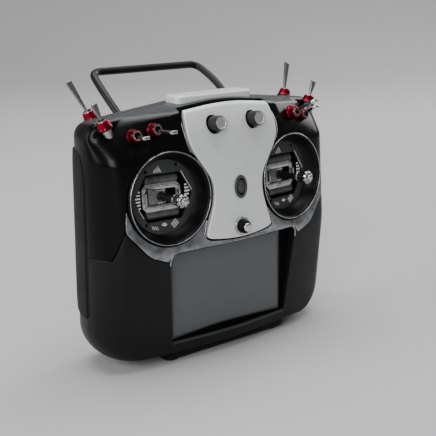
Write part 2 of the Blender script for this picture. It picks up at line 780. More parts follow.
ROD = plastic("face_plate", (0.006, 0.004, 0.004), (0.012, 0.008, 0.008), (0.2, 0.32), 900, 0.01,
              name="stick_rod")
DARK_SCREW = metal("nickel", (0.05, 0.05, 0.05), (0.12, 0.12, 0.12), (0.25, 0.4), 1500, 0.01,
                   name="dark_screw_steel")
SCREW = metal("nickel", (0.3, 0.3, 0.3), (0.6, 0.6, 0.6), (0.15, 0.3), 1500, 0.01, name="screw_steel")
PRINT = plastic("face_plate", (0.86,) * 3, (0.92,) * 3, (0.4, 0.5), 1200, 0.005, name="white_print")


def screen_glass():
    look = Look("screen_glass", Coat_Weight=0.6, Coat_Roughness=0.03)
    look.colour(look.noise(30), (0.05, 0.0525, 0.055), (0.057, 0.06, 0.063))
    look.rough(look.noise(60), 0.12, 0.2)
    look.bump(look.noise(120, 2), 0.001)
    return look.material


SCREEN = screen_glass()


# ------------------------------------------------------------------ casing pieces

def casing_test(outer, holes=()):
    """Test for points inside one line, outside others, and inside the casing's outline."""
    in_region = polygon_test(outer, holes)

    def keep(points):
        unmoved = np.zeros((len(OUTLINE), len(points)))
        return in_region(points) & (depth_inside(points, unmoved) > 0)
    return keep


FRONT_EDGE = edge_points(FRONT_ROUND)
BACK_EDGE = edge_points(BACK_ROUND)
RIM = outline_ring(1e-5, FRONT_ROUND)  # a hair inside the casing's outline
BACK_RIM = outline_ring(4e-4, BACK_ROUND)
SEAM_ROUND = 0.2  # rounding of an edge along a seam
LINE_SPACING = 1.6  # longest step along the border of a casing piece
CASING_WALL = 2.2
OPENING_MARGIN = 0.9  # width kept between the panel's surround and a stick opening


def crowned(points):
    """Height of the trim over the casing: it swells gently round each opening."""
    swell = np.zeros(len(points))
    for matrix in OPENINGS.values():
        centre = matrix.translation - FACE_ORIGIN
        reach = np.hypot(points[:, 0] - centre.x, points[:, 1] - centre.z) - OPENING_RADIUS
        swell = np.maximum(swell, np.sin(np.clip(reach / 15, 0, 1) * math.pi))
    return 1.0 * swell


def front_piece(name, outer, holes, material, replaces, radius, rise=None, depth=CASING_WALL,
                spacing=1.7):
    """A piece of the front of the casing inside `outer` and outside `holes`. `rise(points)` is its
    height over the casing's face."""
    own = resampled(offset(outer, -radius - GAP / 2), LINE_SPACING)
    grown = [resampled(offset(hole, radius), LINE_SPACING) for hole in holes]

    def lift(points):
        return front_surface(points, rise(points) if rise else 0.0)

    shape = sheet([own, *grown, RIM], casing_test(own, grown), lift, spacing, radius, depth, extra=FRONT_EDGE)
    return add_mesh(name, *shape, material, "casing", replaces=replaces, sharp=60)


def below_top(loop, depth):
    """The loop with its highest points lowered to where the rounded top edge lies at `depth`."""
    loop = np.asarray(loop, float)
    low, high = np.full(len(loop), 45.0), np.full(len(loop), OUTLINE[0, 1])
    for _ in range(18):
        middle = (low + high) / 2
        behind = front_surface(np.stack([loop[:, 0], middle], 1)) > depth
        low, high = np.where(behind, low, middle), np.where(behind, middle, high)
    return np.stack([loop[:, 0], np.minimum(loop[:, 1], low)], 1)


def clear_of_openings(loop):
    """The loop pushed out of a narrow ring round each stick opening."""
    loop = np.array(loop, float)
    for matrix in OPENINGS.values():
        centre = matrix.translation - FACE_ORIGIN
        arm = loop - (centre.x, centre.z)
        reach = np.hypot(*arm.T)
        grow = np.maximum(1, (OPENING_RADIUS + OPENING_MARGIN) / reach)
        loop = (centre.x, centre.z) + arm * grow[:, None]
    return loop


PANEL_GAP = 1.4
PANEL_LOOP = below_top(panel_loop(), 14)
OPENING_LOOPS = [opening_loop(side, OPENING_RADIUS) for side in SIDES.values()]
panel_room = clear_of_openings(below_top(offset(PANEL_LOOP, PANEL_GAP), 14.9))
panel_room[:, 1] = np.minimum(panel_room[:, 1], panel_head(panel_room[:, 0]) + 0.35)

front_piece("upper_shell", UPPER_LOOP, [*OPENING_LOOPS, panel_room], GLOSS,
            "upper_front_shell", SEAM_ROUND)
front_piece("metallic_trim", TRIM_LOOP, [*OPENING_LOOPS, panel_room, screen_loop(0.2)], TRIM,
            "gimbal_trim", 0.6, rise=crowned)
front_piece("lower_shell", LOWER_LOOP, [screen_loop(0.0)], SATIN, "lower_front_shell", 0.5)


def bead(name, line, radius, material, height):
    """Thin round bead that follows the casing's face along a line of [x, z] points."""
    y = front_surface(line, height)
    path = [(x, depth, z) for (x, z), depth in zip(line, y)]
    return add_mesh(name, *tube(path, radius, 12), material, "casing", sharp=60)


def runs_of(loop, passed):
    """The unbroken runs of a closed line's points that passed a test."""
    count = len(loop)
    starts = [k for k in range(count) if passed[k] and not passed[k - 1]]
    runs = []
    for start in starts:
        length = next(n for n in range(count) if not passed[(start + n) % count])
        runs.append(np.array([loop[(start + n) % count] for n in range(length)]))
    return [run for run in runs if len(run) > 3]


def add_beads():
    panel_line = resampled(offset(PANEL_LOOP, PANEL_GAP + 0.15), 1.2)
    clear = np.hypot(*(clear_of_openings(panel_line) - panel_line).T) < 0.01
    for k, run in enumerate(runs_of(panel_line, clear & (panel_line[:, 1] < 46))):
        bead(f"panel_bead_{k + 1}", run, 0.32, RIM_METAL, crowned(run) - 0.05)
    lip = resampled(screen_loop(0.75), 1.2)
    bead("screen_lip", runs_of(lip, lip[:, 1] > SCREEN_TOP - 9)[0], 0.5, RIM_METAL, -0.1)
    sill = resampled(screen_loop(0.4), 1.2)
    bead("screen_sill", runs_of(sill, sill[:, 1] < SCREEN_BOTTOM + 0.1)[0], 0.22, SILL, 0.0)


def circle_loop(x, z, radius, count=48):
    return [(x + radius * math.cos(2 * math.pi * k / count), z + radius * math.sin(2 * math.pi * k / count))
            for k in range(count)]


# ------------------------------------------------------------------ centre panel and its controls

KNOB_X, KNOB_Z = 16.5, 43.4
POWER_Z = -25.3
knob_rooms = [circle_loop(side * KNOB_X, KNOB_Z - 0.4, 5.5) for side in SIDES.values()]
power_room = circle_loop(0, POWER_Z, 5.3)
front_piece("centre_panel", PANEL_LOOP, [*knob_rooms, power_room], SILVER, "centre_panel", 0.8,
            rise=lambda points: PANEL_RISE, depth=3.4, spacing=1.8)

BADGE = {"z": 1.2, "half_width": 5.3, "half_height": 8}


def add_badge():
    """Plain oval badge: a raised rim and a raised oval on a sunk ground."""
    def oval(scale):
        width, height = BADGE["half_width"] * scale, BADGE["half_height"] * scale
        turns = (2 * math.pi * k / 72 for k in range(72))
        return [(width * math.cos(a), BADGE["z"] + height * math.sin(a)) for a in turns]

    def raised(amount):
        return lambda p: front_surface(p, PANEL_RISE + amount)

    outer, inner = oval(0.93), oval(0.76)
    rim = sheet([outer, inner], casing_test(outer, [inner]), raised(1.15), 1, 0.3, 0.85)
    ground = sheet([oval(0.8)], casing_test(oval(0.8)), raised(0.6), 1.2, 0.1, 0.35)
    middle = sheet([oval(0.5)], casing_test(oval(0.5)), raised(1.0), 1, 0.25, 0.5)
    add_mesh("badge", *merged(rim, middle), BADGE_METAL, "casing", replaces="badge")
    add_mesh("badge_ground", *ground, BLACK, "casing")


def turned_frame(origin, out, across=(1, 0, 0)):
    """Local frame whose Z is `out`, in millimetres."""
    out = Vector(out).normalized()
    across = Vector(across)
    across = (across - out * across.dot(out)).normalized()
    return basis(across, out.cross(across), out, Vector(origin))


def knurl(count, depth, low, high):
    """Ripple for a knurled band between two heights."""
    def ripple(angle, height):
        if not low <= height <= high:
            return 1
        return 1 - depth * (0.5 + 0.5 * math.cos(count * angle)) ** 2
    return ripple


KNOB = {"radius": 5.0, "length": 8.6}


def add_knob(label):
    name = f"knob_{label}"
    matrix = turned_frame(joint_point(f"{name}_turn"), joint_axis(f"{name}_turn"))
    radius, top = KNOB["radius"], KNOB["length"] + 0.3
    side = [(2.0, 0.5), (radius - 0.5, 0.5), (radius - 0.15, 0.8)]
    side += [(radius, 0.9 + k * 0.35) for k in range(19)]
    side += [(radius - 0.15, top - 0.9), (radius - 0.5, top - 0.45), (radius - 0.75, top - 0.3)]
    side.append((0.5, top - 0.3))
    add_turned(name, side, 180, KNOB_SIDE, name, matrix, replaces=name, ripple=knurl(36, 0.035, 1.0, 7.2))
    face = [(0.2, top - 0.25), (4.3, top - 0.25), (4.27, top - 0.05), (4.1, top), (3.3, top - 0.02),
            (3.1, top - 0.22), (0.4, top - 0.24)]
    add_turned(f"{name}_face", face, 96, SPUN, name, matrix, sharp=30)
    line = moved(block(0.4, 1.1, 0.08), Matrix.Translation((0, 3.6, top)))
    bevel(add_mesh(f"{name}_pointer", *line, BLACK, name, matrix), 0.03, 2)
    seat = [(0.5, -1.4), (5.9, -1.4), (5.9, -0.7), (3.6, -0.6), (3.4, 0.1), (0.5, 0.1)]
    add_turned(f"{name}_seat", seat, 64, BLACK, "casing", matrix, sharp=30)


def add_power():
    low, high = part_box("power_button")
    seat_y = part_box("power_bezel")[0].y / MM + 4.8
    centre = (0, seat_y, (low.z + high.z) / 2 / MM)
    matrix = turned_frame(centre, (0, -1, 0))
    flange = [(3.5, -6), (6.2, -6), (6.2, 0.2), (6.05, 0.7), (5.7, 0.95), (4.7, 1.0),
              (4.45, 0.8), (3.6, 0.7), (3.5, -6)]
    add_turned("power_flange", flange, 96, RIM_METAL, "casing", matrix, replaces="power_bezel")
    collar = [(3.2, -3), (4.4, -3), (4.4, 3.9), (4.25, 4.5), (3.95, 4.75), (3.45, 4.75),
              (3.3, 4.5), (3.2, 3.5), (3.2, -3)]
    add_turned("power_collar", collar, 72, BLACK, "casing", matrix)
    button = [(0.2, -7), (2.2, -7), (2.2, -3.2), (3.0, -3.2), (3.0, 5.6), (2.9, 6.05),
              (2.6, 6.35), (2.1, 6.5), (1.2, 6.56), (0.2, 6.58)]
    add_turned("power_button", button, 72, CHROME, "power_button", matrix, replaces="power_button")


# ------------------------------------------------------------------ screen

LENS_Y = 7.0
DISPLAY = {"half_width": 47.5, "top": -40.4, "bottom": -95.6}


def flat(y):
    """Lift of a sheet that lies in one plane."""
    return lambda p: np.full(len(p), float(y))


def add_screen():
    lens = screen_loop(-GAP)
    glass = sheet([lens], casing_test(lens), flat(LENS_Y), 8, 0.15, 1.4)
    add_mesh("screen_glass", *glass, MASK, "casing", replaces="screen_lens")
    half, top, bottom = DISPLAY["half_width"], DISPLAY["top"], DISPLAY["bottom"]
    area = filleted([(-half, bottom), (half, bottom), (half, top), (-half, top)], 0.8, 3, True)
    lit = sheet([area], casing_test(area), flat(LENS_Y - 0.06), 8, 0.04, 0.1)
    add_mesh("display_area", *lit, SCREEN, "casing")
    add_screen_frame()


def add_screen_frame():
    """Wall of the deep frame round the screen, from just under the lip back to the glass."""
    inner = resampled(screen_loop(0.0), 2)
    outer = offset(inner, 1.5)
    lip = front_surface(inner) + 0.9
    sections = [
        [(x, y, z) for (x, z), y in zip(outer, lip + 0.6)],
        [(x, y, z) for (x, z), y in zip(offset(inner, 0.5), lip)],
        [(x, y + 0.5, z) for (x, z), y in zip(inner, lip)],
        [(x, LENS_Y + 0.2, z) for x, z in inner],
        [(x, LENS_Y + 1.8, z) for x, z in inner],
        [(x, LENS_Y + 1.8, z) for x, z in outer],
    ]
    add_mesh("screen_frame", *ring_wall(sections), BLACK, "casing")


# ------------------------------------------------------------------ stick units

PLATE_DEPTH = 8.7  # front of the face plate, behind the plane of its opening
LEDGE_DEPTH = 12.2  # ledge beside the cradle, inside the plate's window
SCALE_DEPTH = 10.4  # strip on the ledge that carries the scale
PLATE_RADIUS = 24.6
HEXAGON = [(-21.2, -1.5), (-13, -15.4), (13, -15.4), (21.2, -1.5), (21.2, 1.5), (13, 15.4), (-13, 15.4),
           (-21.2, 1.5)]
PLATE_HOLES = [(-12.8, 17.6), (10.2, 20.0), (-13.8, -16.6)]


def chamfered(half_width, half_height, cut):
    """Rectangle with its corners cut off."""
    return [(-half_width, cut - half_height), (cut - half_width, -half_height),
            (half_width - cut, -half_height), (half_width, cut - half_height),
            (half_width, half_height - cut), (half_width - cut, half_height),
            (cut - half_width, half_height), (-half_width, half_height - cut)]


def flat_piece(outer, holes, depth, thickness, radius, spacing=4):
    """Flat piece parallel to an opening's plane, in the opening's frame."""
    return sheet([outer, *holes], polygon_test(outer, holes), flat(depth), spacing, radius, thickness)


def mark(x, z, length, width, angle, depth=PLATE_DEPTH):
    """Thin raised mark on a face plate or its ledge."""
    turn = Matrix.Translation((x, depth - 0.03, z)) @ Matrix.Rotation(math.radians(angle), 4, "Y")
    return moved(block(length, 0.12, width), turn)


def screw_head(radius, height):
    """Pan head with a raised cross where the driver sits, Z out."""
    profile = [(0.05, 0), (radius, 0), (radius, height * 0.4), (radius * 0.86, height * 0.8),
               (radius * 0.6, height), (0.05, height)]
    bars = [moved(block(radius * 1.1, radius * 0.24, 0.08), Matrix.Translation((0, 0, height))
                  @ Matrix.Rotation(math.radians(90 * k), 4, "Z")) for k in range(2)]
    return merged(revolve(profile, 36), *bars)


def add_face_plate(label, matrix):
    rim = circle_loop(0, 0, PLATE_RADIUS, 120)
    holes = [circle_loop(x, z, 1.3, 20) for x, z in PLATE_HOLES]
    window = filleted(HEXAGON, 0.8, 3, True)
    plate = flat_piece(rim, [window, *holes], PLATE_DEPTH, 1.6, 0.15)
    add_mesh(f"stick_plate_{label}", *plate, PLATE, "casing", matrix, replaces=f"stick_housing_{label}",
             sharp=35)

    gap = filleted(chamfered(15.2, 15.6, 2), 0.6, 3, True)
    rest = filleted([(x * 1.02, z * 1.02) for x, z in HEXAGON], 0.8, 3, True)
    ledge = flat_piece(resampled(rest, 4), [resampled(gap, 4)], LEDGE_DEPTH, 0.5, 0.1)
    throat = ring_wall([
        [(x, y, z) for x, z in chamfered(half, half_height, 3)]
        for half, half_height, y in
        ((17.2, 15.8, 13), (17.2, 15.8, 26), (20.6, 17.8, 26), (20.6, 17.8, 13))
    ])
    edge = ring_wall([
        [(x * scale, y, z * scale) for x, z in window]
        for scale, y in ((1.0, 10.2), (1.0, 12.5), (1.05, 12.5), (1.05, 10.2))
    ])
    back = block(36, 1, 33, (0, 25, 0))
    strips = [block(4.6, 1.9, 13.4, (side * 18.7, SCALE_DEPTH + 0.95, 0)) for side in (-1, 1)]
    add_mesh(f"stick_well_{label}", *merged(ledge, throat, edge, back, *strips), BLACK, "casing", matrix,
             sharp=35)

    marks = []
    for side in (-1, 1):
        for k, length in enumerate((1.4, 2.4, 3.2, 3.8, 3.0, 1.8)):
            middle = -16.6 - length / 2 if side < 0 else 16.6 + length / 2
            marks.append(mark(middle, 2.1 * (k - 2.6) + 0.4 * (side + 1), length, 1.0, 0, SCALE_DEPTH))
    for k in range(5):
        length = 1.3 + 0.85 * k
        marks.append(mark(-6.4 + 1.25 * k - 0.235 * length, 16.2 + 0.44 * length, length, 0.32, 62))
    for k in range(4):
        marks.append(mark(6.0 + 0.7 * k, -16.7 - 0.84 * k, 5.0, 0.34, -40))
    for k in range(4):
        marks.append(mark(-9.6 + 1.25 * k, -18.8 - 0.25 * k, 2.6, 0.3, 68))
    marks.append(mark(17.2, 8.9, 15.2, 0.3, 59.5))
    marks.append(mark(-17.4, -8.6, 7.5, 0.22, 59.5))
    add_mesh(f"stick_marks_{label}", *merged(*marks), PRINT, "casing", matrix)

    cup = [(0.1, -2.2), (1.2, -2.2), (1.2, -1.5), (0.75, -1.1), (0.1, -1.1)]
    heads = [moved(revolve(cup, 24), Matrix.Translation((x, PLATE_DEPTH, z)) @ OUTWARD)
             for x, z in PLATE_HOLES]
    add_mesh(f"stick_screws_{label}", *merged(*heads), BLACK, "casing", matrix, sharp=30)
    oval = Matrix.Diagonal((1.25, 1, 0.8, 1))
    place = Matrix.Translation((-1.0, PLATE_DEPTH + 0.3, -17.6)) @ oval @ OUTWARD
    add_mesh(f"stick_tension_screw_{label}", *moved(screw_head(2.0, 1.6), place), CHROME, "casing", matrix,
             sharp=35)


CRADLE_FRAME = {"half_width": 14, "half_height": 9.2, "front": 11.5, "back": 18.3}


def add_cradle(label, matrix):
    body = f"cradle_{label}"
    size = CRADLE_FRAME
    outer = filleted(chamfered(size["half_width"], size["half_height"], 3.2), 0.5, 3, True)
    inner = filleted(chamfered(11, 5.3, 0.8), 0.4, 3, True)
    frame_front = flat_piece(resampled(outer, 3), [resampled(inner, 3)], size["front"] + 0.05,
                             size["back"] - size["front"], 0.5, 3)
    add_mesh(f"cradle_frame_{label}", *frame_front, CRADLE, body, matrix, replaces=f"stick_cradle_{label}",
             sharp=35)
    rolls = []
    for end in (-1, 1):
        profile = [(0.1, -12), (2.8, -12), (3.1, -11.7), (3.1, 11.7), (2.8, 12), (0.1, 12)]
        place = Matrix.Translation((0, 13.6, end * 11.2)) @ Matrix.Rotation(math.radians(90), 4, "Y")
        rolls.append(moved(revolve(profile, 56), place))
    add_mesh(f"cradle_rolls_{label}", *merged(*rolls), ROLL, body, matrix, sharp=35)

    axles, screws = [], []
    for side in (-1, 1):
        stub = revolve([(0.1, 0), (1.95, 0), (1.95, 7.2), (1.7, 7.5), (0.1, 7.5)], 32)
        sideways = Matrix.Rotation(side * math.pi / 2, 4, "Y")
        place = Matrix.Translation((side * 13.8, PIVOT_DEPTH, 0)) @ sideways
        axles.append(moved(stub, place))
        axles.append(block(1.4, 3.4, 6.6, (side * 12.5, size["front"] - 0.3, 0)))
    for x, z in ((-12.0, 5.6), (-12.0, -5.6), (12.0, 5.6), (12.0, -5.6), (0, 7.2), (0, -7.2)):
        place = Matrix.Translation((x, size["front"], z)) @ OUTWARD
        screws.append(moved(screw_head(0.95, 0.5), place))
    bevel(add_mesh(f"cradle_axles_{label}", *merged(*axles), NICKEL, body, matrix, sharp=35), 0.2, 2)
    add_mesh(f"cradle_screws_{label}", *merged(*screws), SCREW, body, matrix, sharp=35)


def add_stick(label, matrix):
    body = f"stick_{label}"
    stem = [(0.1, -2), (3.4, -2), (3.4, 2.2), (3.1, 2.8), (3.0, 4.8), (2.6, 8.8), (2.15, 9.6), (2.1, 20),
            (2.1, 28.3), (1.9, 28.8), (0.1, 28.8)]
    place = Matrix.Translation((0, PIVOT_DEPTH, 0)) @ OUTWARD
    add_mesh(f"stick_rod_{label}", *moved(revolve(stem, 48), place), ROD, body, matrix,
             replaces=f"stick_rod_{label}", sharp=35)
    pin = revolve([(0.1, -7.2), (1.1, -7.2), (1.1, 7.2), (0.1, 7.2)], 24)
    pivot_block = merged(block(12.8, 5.4, 9.4, (-3, PIVOT_DEPTH, 0)),
                         moved(pin, Matrix.Translation((0, PIVOT_DEPTH, 0))))
    bevel(add_mesh(f"stick_block_{label}", *pivot_block, BLOCK, body, matrix, sharp=35), 0.4, 3)
    details = [block(6.2, 0.6, 0.9, (0.1, 12.1, 4.0)), block(3.6, 0.6, 1.1, (-1.0, 12.1, -3.9))]
    bevel(add_mesh(f"stick_clips_{label}", *merged(*details), SCREW, body, matrix), 0.1, 2)

    flutes = 8

    def ripple(angle, height):
        depth = 0.22 * min(1, max(0, (height - 6.4) / 2.5))
        return 1 - depth * max(0, math.cos(flutes * angle)) ** 1.6

    low = 4.4
    profile = filleted([(2.5, low), (3.4, low), (3.6, low + 1.6), (3.2, low + 2.2), (3.5, low + 3.0),
                        (4.75, low + 8.2), (4.6, low + 9.6), (3.6, low + 11.0), (2.3, low + 11.5)], 0.4, 3)
    profile.append((0.1, low + 11.4))
    tip = revolve([(0.1, low + 0.3)] + profile, 128, ripple)
    add_mesh(f"stick_tip_{label}", *tip, TIP, body, matrix @ OUTWARD, replaces=f"stick_tip_{label}",
             sharp=45)
    end = [(0.1, low + 10.8), (1.9, low + 10.8), (1.95, low + 11.8), (1.7, low + 12.1), (0.9, low + 12.25),
           (0.1, low + 12.28)]
    add_turned(f"stick_end_{label}", end, 40, CHROME, body, matrix @ OUTWARD, sharp=45)


def add_stick_unit(label):
    matrix = OPENINGS[label]
    bezel = [(27.0, -9.6), (30.5, -3), (30.5, 0.3), (30.3, 0.5), (29.2, 0.5), (28.7, 0.2), (28.2, -0.6),
             (27.2, -3), (24.5, -8.1), (24.05, -8.4), (25.3, -8.5), (25.7, -9.6), (27.0, -9.6)]
    add_turned(f"stick_bezel_{label}", bezel, 160, BEZEL, "casing", matrix @ OUTWARD,
               replaces=f"stick_bezel_{label}", sharp=50)
    rim = [(29.35, 0.35), (29.9, 0.35), (29.95, 0.75), (29.8, 0.95), (29.6, 1.0),
           (29.4, 0.9), (29.35, 0.35)]
    add_turned(f"stick_rim_{label}", rim, 200, RIM_METAL, "casing", matrix @ OUTWARD, sharp=60)
    add_face_plate(label, matrix)
    add_cradle(label, matrix)
    add_stick(label, matrix)


# ------------------------------------------------------------------ toggle switches

THROW = 11
TOGGLES = {
    "top_rear": {"axis": (0.4, 0.12, 0.9), "length": 27.5, "rest": {"left": -THROW, "right": -THROW}},
    "top_front": {"axis": (0.42, 0.06, 0.9), "length": 17.3, "rest": {"left": 0, "right": 0}},
    "face_inner": {"axis": (0.08, -0.96, 0.27), "length": 25, "rest": {"left": THROW, "right": -THROW}},
    "face_outer": {"axis": (0.1, -0.96, 0.27), "length": 17.5, "rest": {"left": THROW, "right": -THROW}},
}


SECTION_POINTS = 32


def rounded_section(half_width, half_thick, corner, height):
    """Superellipse ring between a circle (corner 2) and a rounded bar (corner 8)."""
    ring = []
    for k in range(SECTION_POINTS):
        angle = 2 * math.pi * k / SECTION_POINTS
        c, s = math.cos(angle), math.sin(angle)
        ring.append((half_width * math.copysign(abs(c) ** (2 / corner), c),
                     half_thick * math.copysign(abs(s) ** (2 / corner), s), height))
    return ring


def add_lever(name, toggle, label, matrix):
    length = toggle["length"]
    tip_width = 2.1 if length > 20 else 2.15
    sections = [rounded_section(0.3, 0.3, 2, -0.6), rounded_section(1.3, 1.3, 2, 0.0),
                rounded_section(1.75, 1.75, 2, 1.4), rounded_section(1.5, 1.5, 2, 2.6),
                rounded_section(1.0, 1.0, 2, 3.4), rounded_section(0.98, 0.98, 2, 7.0)]
    neck = 7.4
    for k in range(1, 13):
        t = k / 12
        height = neck + (length - 0.9 - neck) * t
        half_width = 0.98 + (tip_width - 0.98) * t ** 0.9
        sections.append(rounded_section(half_width, 0.98 - 0.1 * t, 2.4 + 4 * t, height))
    for drop, shrink in ((0.45, 0.12), (0.15, 0.4), (0.0, 0.85)):
        sections.append(rounded_section(tip_width - shrink, 0.88 - shrink * 0.5, 6, length - drop))
    lean = Matrix.Rotation(math.radians(toggle["rest"][label]), 4, "X")
    tilt = (Matrix.Translation((0, 0, SWITCH_PIVOT)) @ lean
            @ Matrix.Translation((0, 0, -SWITCH_PIVOT)))
    add_mesh(f"lever_{name}", *loft(sections), LEVER, f"lever_{name}", matrix @ tilt,
             replaces=f"lever_{name}", sharp=45)
    if name.startswith("face"):
        ends = ((5.2, 0.5), (5.0, 0.15), (4.6, 0.0), (0.5, 0.0), (0.15, 0.25), (0.0, 0.7))
        cap = [rounded_section(tip_width + 0.1 - shrink, 1.0 - shrink * 0.5, 7, length - drop)
               for drop, shrink in ends]
        add_mesh(f"lever_cap_{name}", *loft(cap), CHROME, f"lever_{name}", matrix @ tilt, sharp=45)


def add_toggle(kind, toggle, label):
    side = SIDES[label]
    name = f"{kind}_{label}"
    x, y, z = toggle["axis"]
    out = Vector((side * x, y, z)).normalized()
    pivot = joint_point(f"switch_{name}")
    matrix = turned_frame(pivot - out * SWITCH_PIVOT, out, joint_axis(f"switch_{name}"))
    nut = [(3.2, 0.2), (4.7, 0.2), (4.9, 0.4), (4.9, 0.9), (4.75, 1.15), (4.6, 1.3), (4.55, 1.6)]
    nut += [(4.55 - 0.75 * k / 10, 1.6 + 3.4 * k / 10) for k in range(1, 11)]
    nut += [(3.65, 5.35), (3.4, 5.5), (3.1, 5.45), (3.1, 0.3), (3.2, 0.2)]

    def ripple(angle, height):
        return 1 - 0.045 * (0.5 + 0.5 * math.cos(18 * angle)) ** 3 if 1.7 < height < 4.6 else 1

    add_turned(f"nut_{name}", nut, 144, RED, "casing", matrix, f"nut_{name}", 45, ripple)
    bushing = [(2.3, -4), (3.0, -4), (3.0, 5.7), (2.85, 5.95), (2.6, 6.05), (2.4, 5.9),
               (2.3, 5.6), (2.3, -4)]
    add_turned(f"bushing_{name}", bushing, 48, NICKEL, "casing", matrix)
    washer = [(3.2, -0.1), (5.3, -0.1), (5.3, 0.1), (5.2, 0.18), (3.2, 0.18), (3.2, -0.1)]
    add_turned(f"washer_{name}", washer, 64, BLACK, "casing", matrix)
    add_lever(name, toggle, label, matrix)


# ------------------------------------------------------------------ handle, cap and foot

HANDLE = {"radius": 2.65, "end": (48.8, 52.2, 38.4), "kink": (50, 79, 60), "top": (46.2, 98, 71)}


def bent_path(corners, bends, steps=10):
    """Polyline through corners with a round bend at each inner one."""
    points = [Vector(corners[0])]
    for k in range(1, len(corners) - 1):
        here = Vector(corners[k])
        before = (Vector(corners[k - 1]) - here).normalized() * bends[k - 1]
        after = (Vector(corners[k + 1]) - here).normalized() * bends[k - 1]
        for i in range(steps + 1):
            t = i / steps
            points.append(here + before * (1 - t) ** 2 + after * t * t)
    points.append(Vector(corners[-1]))
    return points


def add_handle():
    right = [HANDLE["end"], HANDLE["kink"], HANDLE["top"]]
    left = [(-x, y, z) for x, y, z in reversed(right)]
    path = bent_path(right + left, (12, 7.5, 7.5, 12))
    bar = tube(path, HANDLE["radius"], 32)
    add_mesh("carry_handle", *bar, BAR, "casing", replaces="carry_handle", sharp=60)
    collar = [(2.7, 3), (5.5, 3), (5.5, 9.2), (5.3, 9.9), (4.8, 10.3), (3.3, 10.4), (2.95, 10.1), (2.7, 3)]
    for label, side in SIDES.items():
        end = Vector((side * HANDLE["end"][0], *HANDLE["end"][1:]))
        kink = Vector((side * HANDLE["kink"][0], *HANDLE["kink"][1:]))
        matrix = turned_frame(FACE_ORIGIN + end, kink - end)
        add_turned(f"handle_collar_{label}", collar, 56, SATIN, "casing", matrix, sharp=45)


def stacked(loop, levels):
    """Block from one XY outline: levels are (height, inset) pairs from the bottom up."""
    return [[(x, y, height) for x, y in offset(loop, -inset)] for height, inset in levels]


def rounding_levels(low, high, radius, steps):
    """Levels of a block whose top edge is rounded."""
    levels = [(low, 0.0)]
    for k in range(steps + 1):
        turn = math.radians(90) * k / steps
        levels.append((high - radius * (1 - math.sin(turn)), radius * (1 - math.cos(turn))))
    return levels


CAP_TOP = 60.7


def add_top_cap():
    half = filleted([(0, 18.2), (28.5, 18.6), (32, 21), (32.2, 32), (30, 35.2), (0, 35.6)], 2.2, 5)
    loop = mirrored(half)
    verts, faces = loft(stacked(resampled(loop, 2.5), rounding_levels(54.6, CAP_TOP, 2.0, 7)))
    add_mesh("top_cap", verts, faces, SILVER, "casing", replaces="top_cap", sharp=60)


def add_foot():
    low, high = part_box("base_foot")
    width, depth = (high.x - low.x) / MM, (high.y - low.y) / MM
    middle = (high + low) / 2 / MM
    loop = filleted([(-width / 2, -depth / 2), (width / 2, -depth / 2), (width / 2, depth / 2),
                     (-width / 2, depth / 2)], 5, 6, True)
    levels = [(0.9, 3.6), (1.3, 2.4), (2.4, 1.4), (5.0, 0.4), (9.0, 0.0)]
    matrix = Matrix.Translation((middle.x, middle.y, 0))
    add_mesh("foot_block", *loft(stacked(resampled(loop, 4), levels)), BLACK, "casing", matrix,
             replaces="base_foot", sharp=50)
    pads = []
    for sx in (-1, 1):
        for sy in (-1, 1):
            pad = revolve([(0.1, 0), (5.4, 0), (5.8, 0.3), (5.8, 1.2), (0.1, 1.2)], 40)
            pads.append(moved(pad, Matrix.Translation((sx * (width / 2 - 9), sy * (depth / 2 - 9), 0))))
    add_mesh("foot_pads", *merged(*pads), RUBBER, "casing", matrix, sharp=40)


# ------------------------------------------------------------------ back of the casing

HATCH = {"half_width": 42, "half_height": 30, "z": -62, "thick": 2.2}
VENT_Z, VENT_COUNT, VENT_PITCH = 18, 5, 5
BACK_SCREWS = [(sx * x, z) for sx in (-1, 1) for x, z in ((66, 37), (66, -94), (24, 39), (58, -20))]


def rounded_box(half_width, half_height, corner, x, z):
    return filleted([(x - half_width, z - half_height), (x + half_width, z - half_height),
                     (x + half_width, z + half_height), (x - half_width, z + half_height)], corner, 6, True)


def add_back():
    bay = rounded_box(37, 25, 4, 0, HATCH["z"])
    vents = [rounded_box(1, 7, 0.9, (k - 2) * VENT_PITCH, VENT_Z) for k in range(VENT_COUNT)]
    sinks = [circle_loop(x, z, 3.4, 28) for x, z in BACK_SCREWS]
    radius = 0.35
    holes = [resampled(offset(hole, radius), LINE_SPACING) for hole in (bay, *vents, *sinks)]
    shape = sheet([*holes, BACK_RIM], casing_test(BACK_RIM, holes), back_surface, 2.2, radius,
                  CASING_WALL, extra=BACK_EDGE, facing=1)
    add_mesh("back_shell", *shape, SATIN, "casing", replaces="back_shell", sharp=60)
    heads = []
    for x, z in BACK_SCREWS:
        y = float(back_surface(np.array([[x, z]], float))[0])
        place = Matrix.Translation((x, y, z)) @ Matrix.Rotation(math.radians(-90), 4, "X")
        cup = [(0.1, -3.2), (3.5, -3.2), (3.5, -0.6), (3.3, -0.5), (3.1, -2.2), (0.1, -2.2)]
        heads.append(moved(revolve(cup, 40), place))
        heads.append(moved(screw_head(2.6, 1.2), place @ Matrix.Translation((0, 0, -2.2))))
    add_mesh("back_screws", *merged(*heads), DARK_SCREW, "casing", sharp=35)


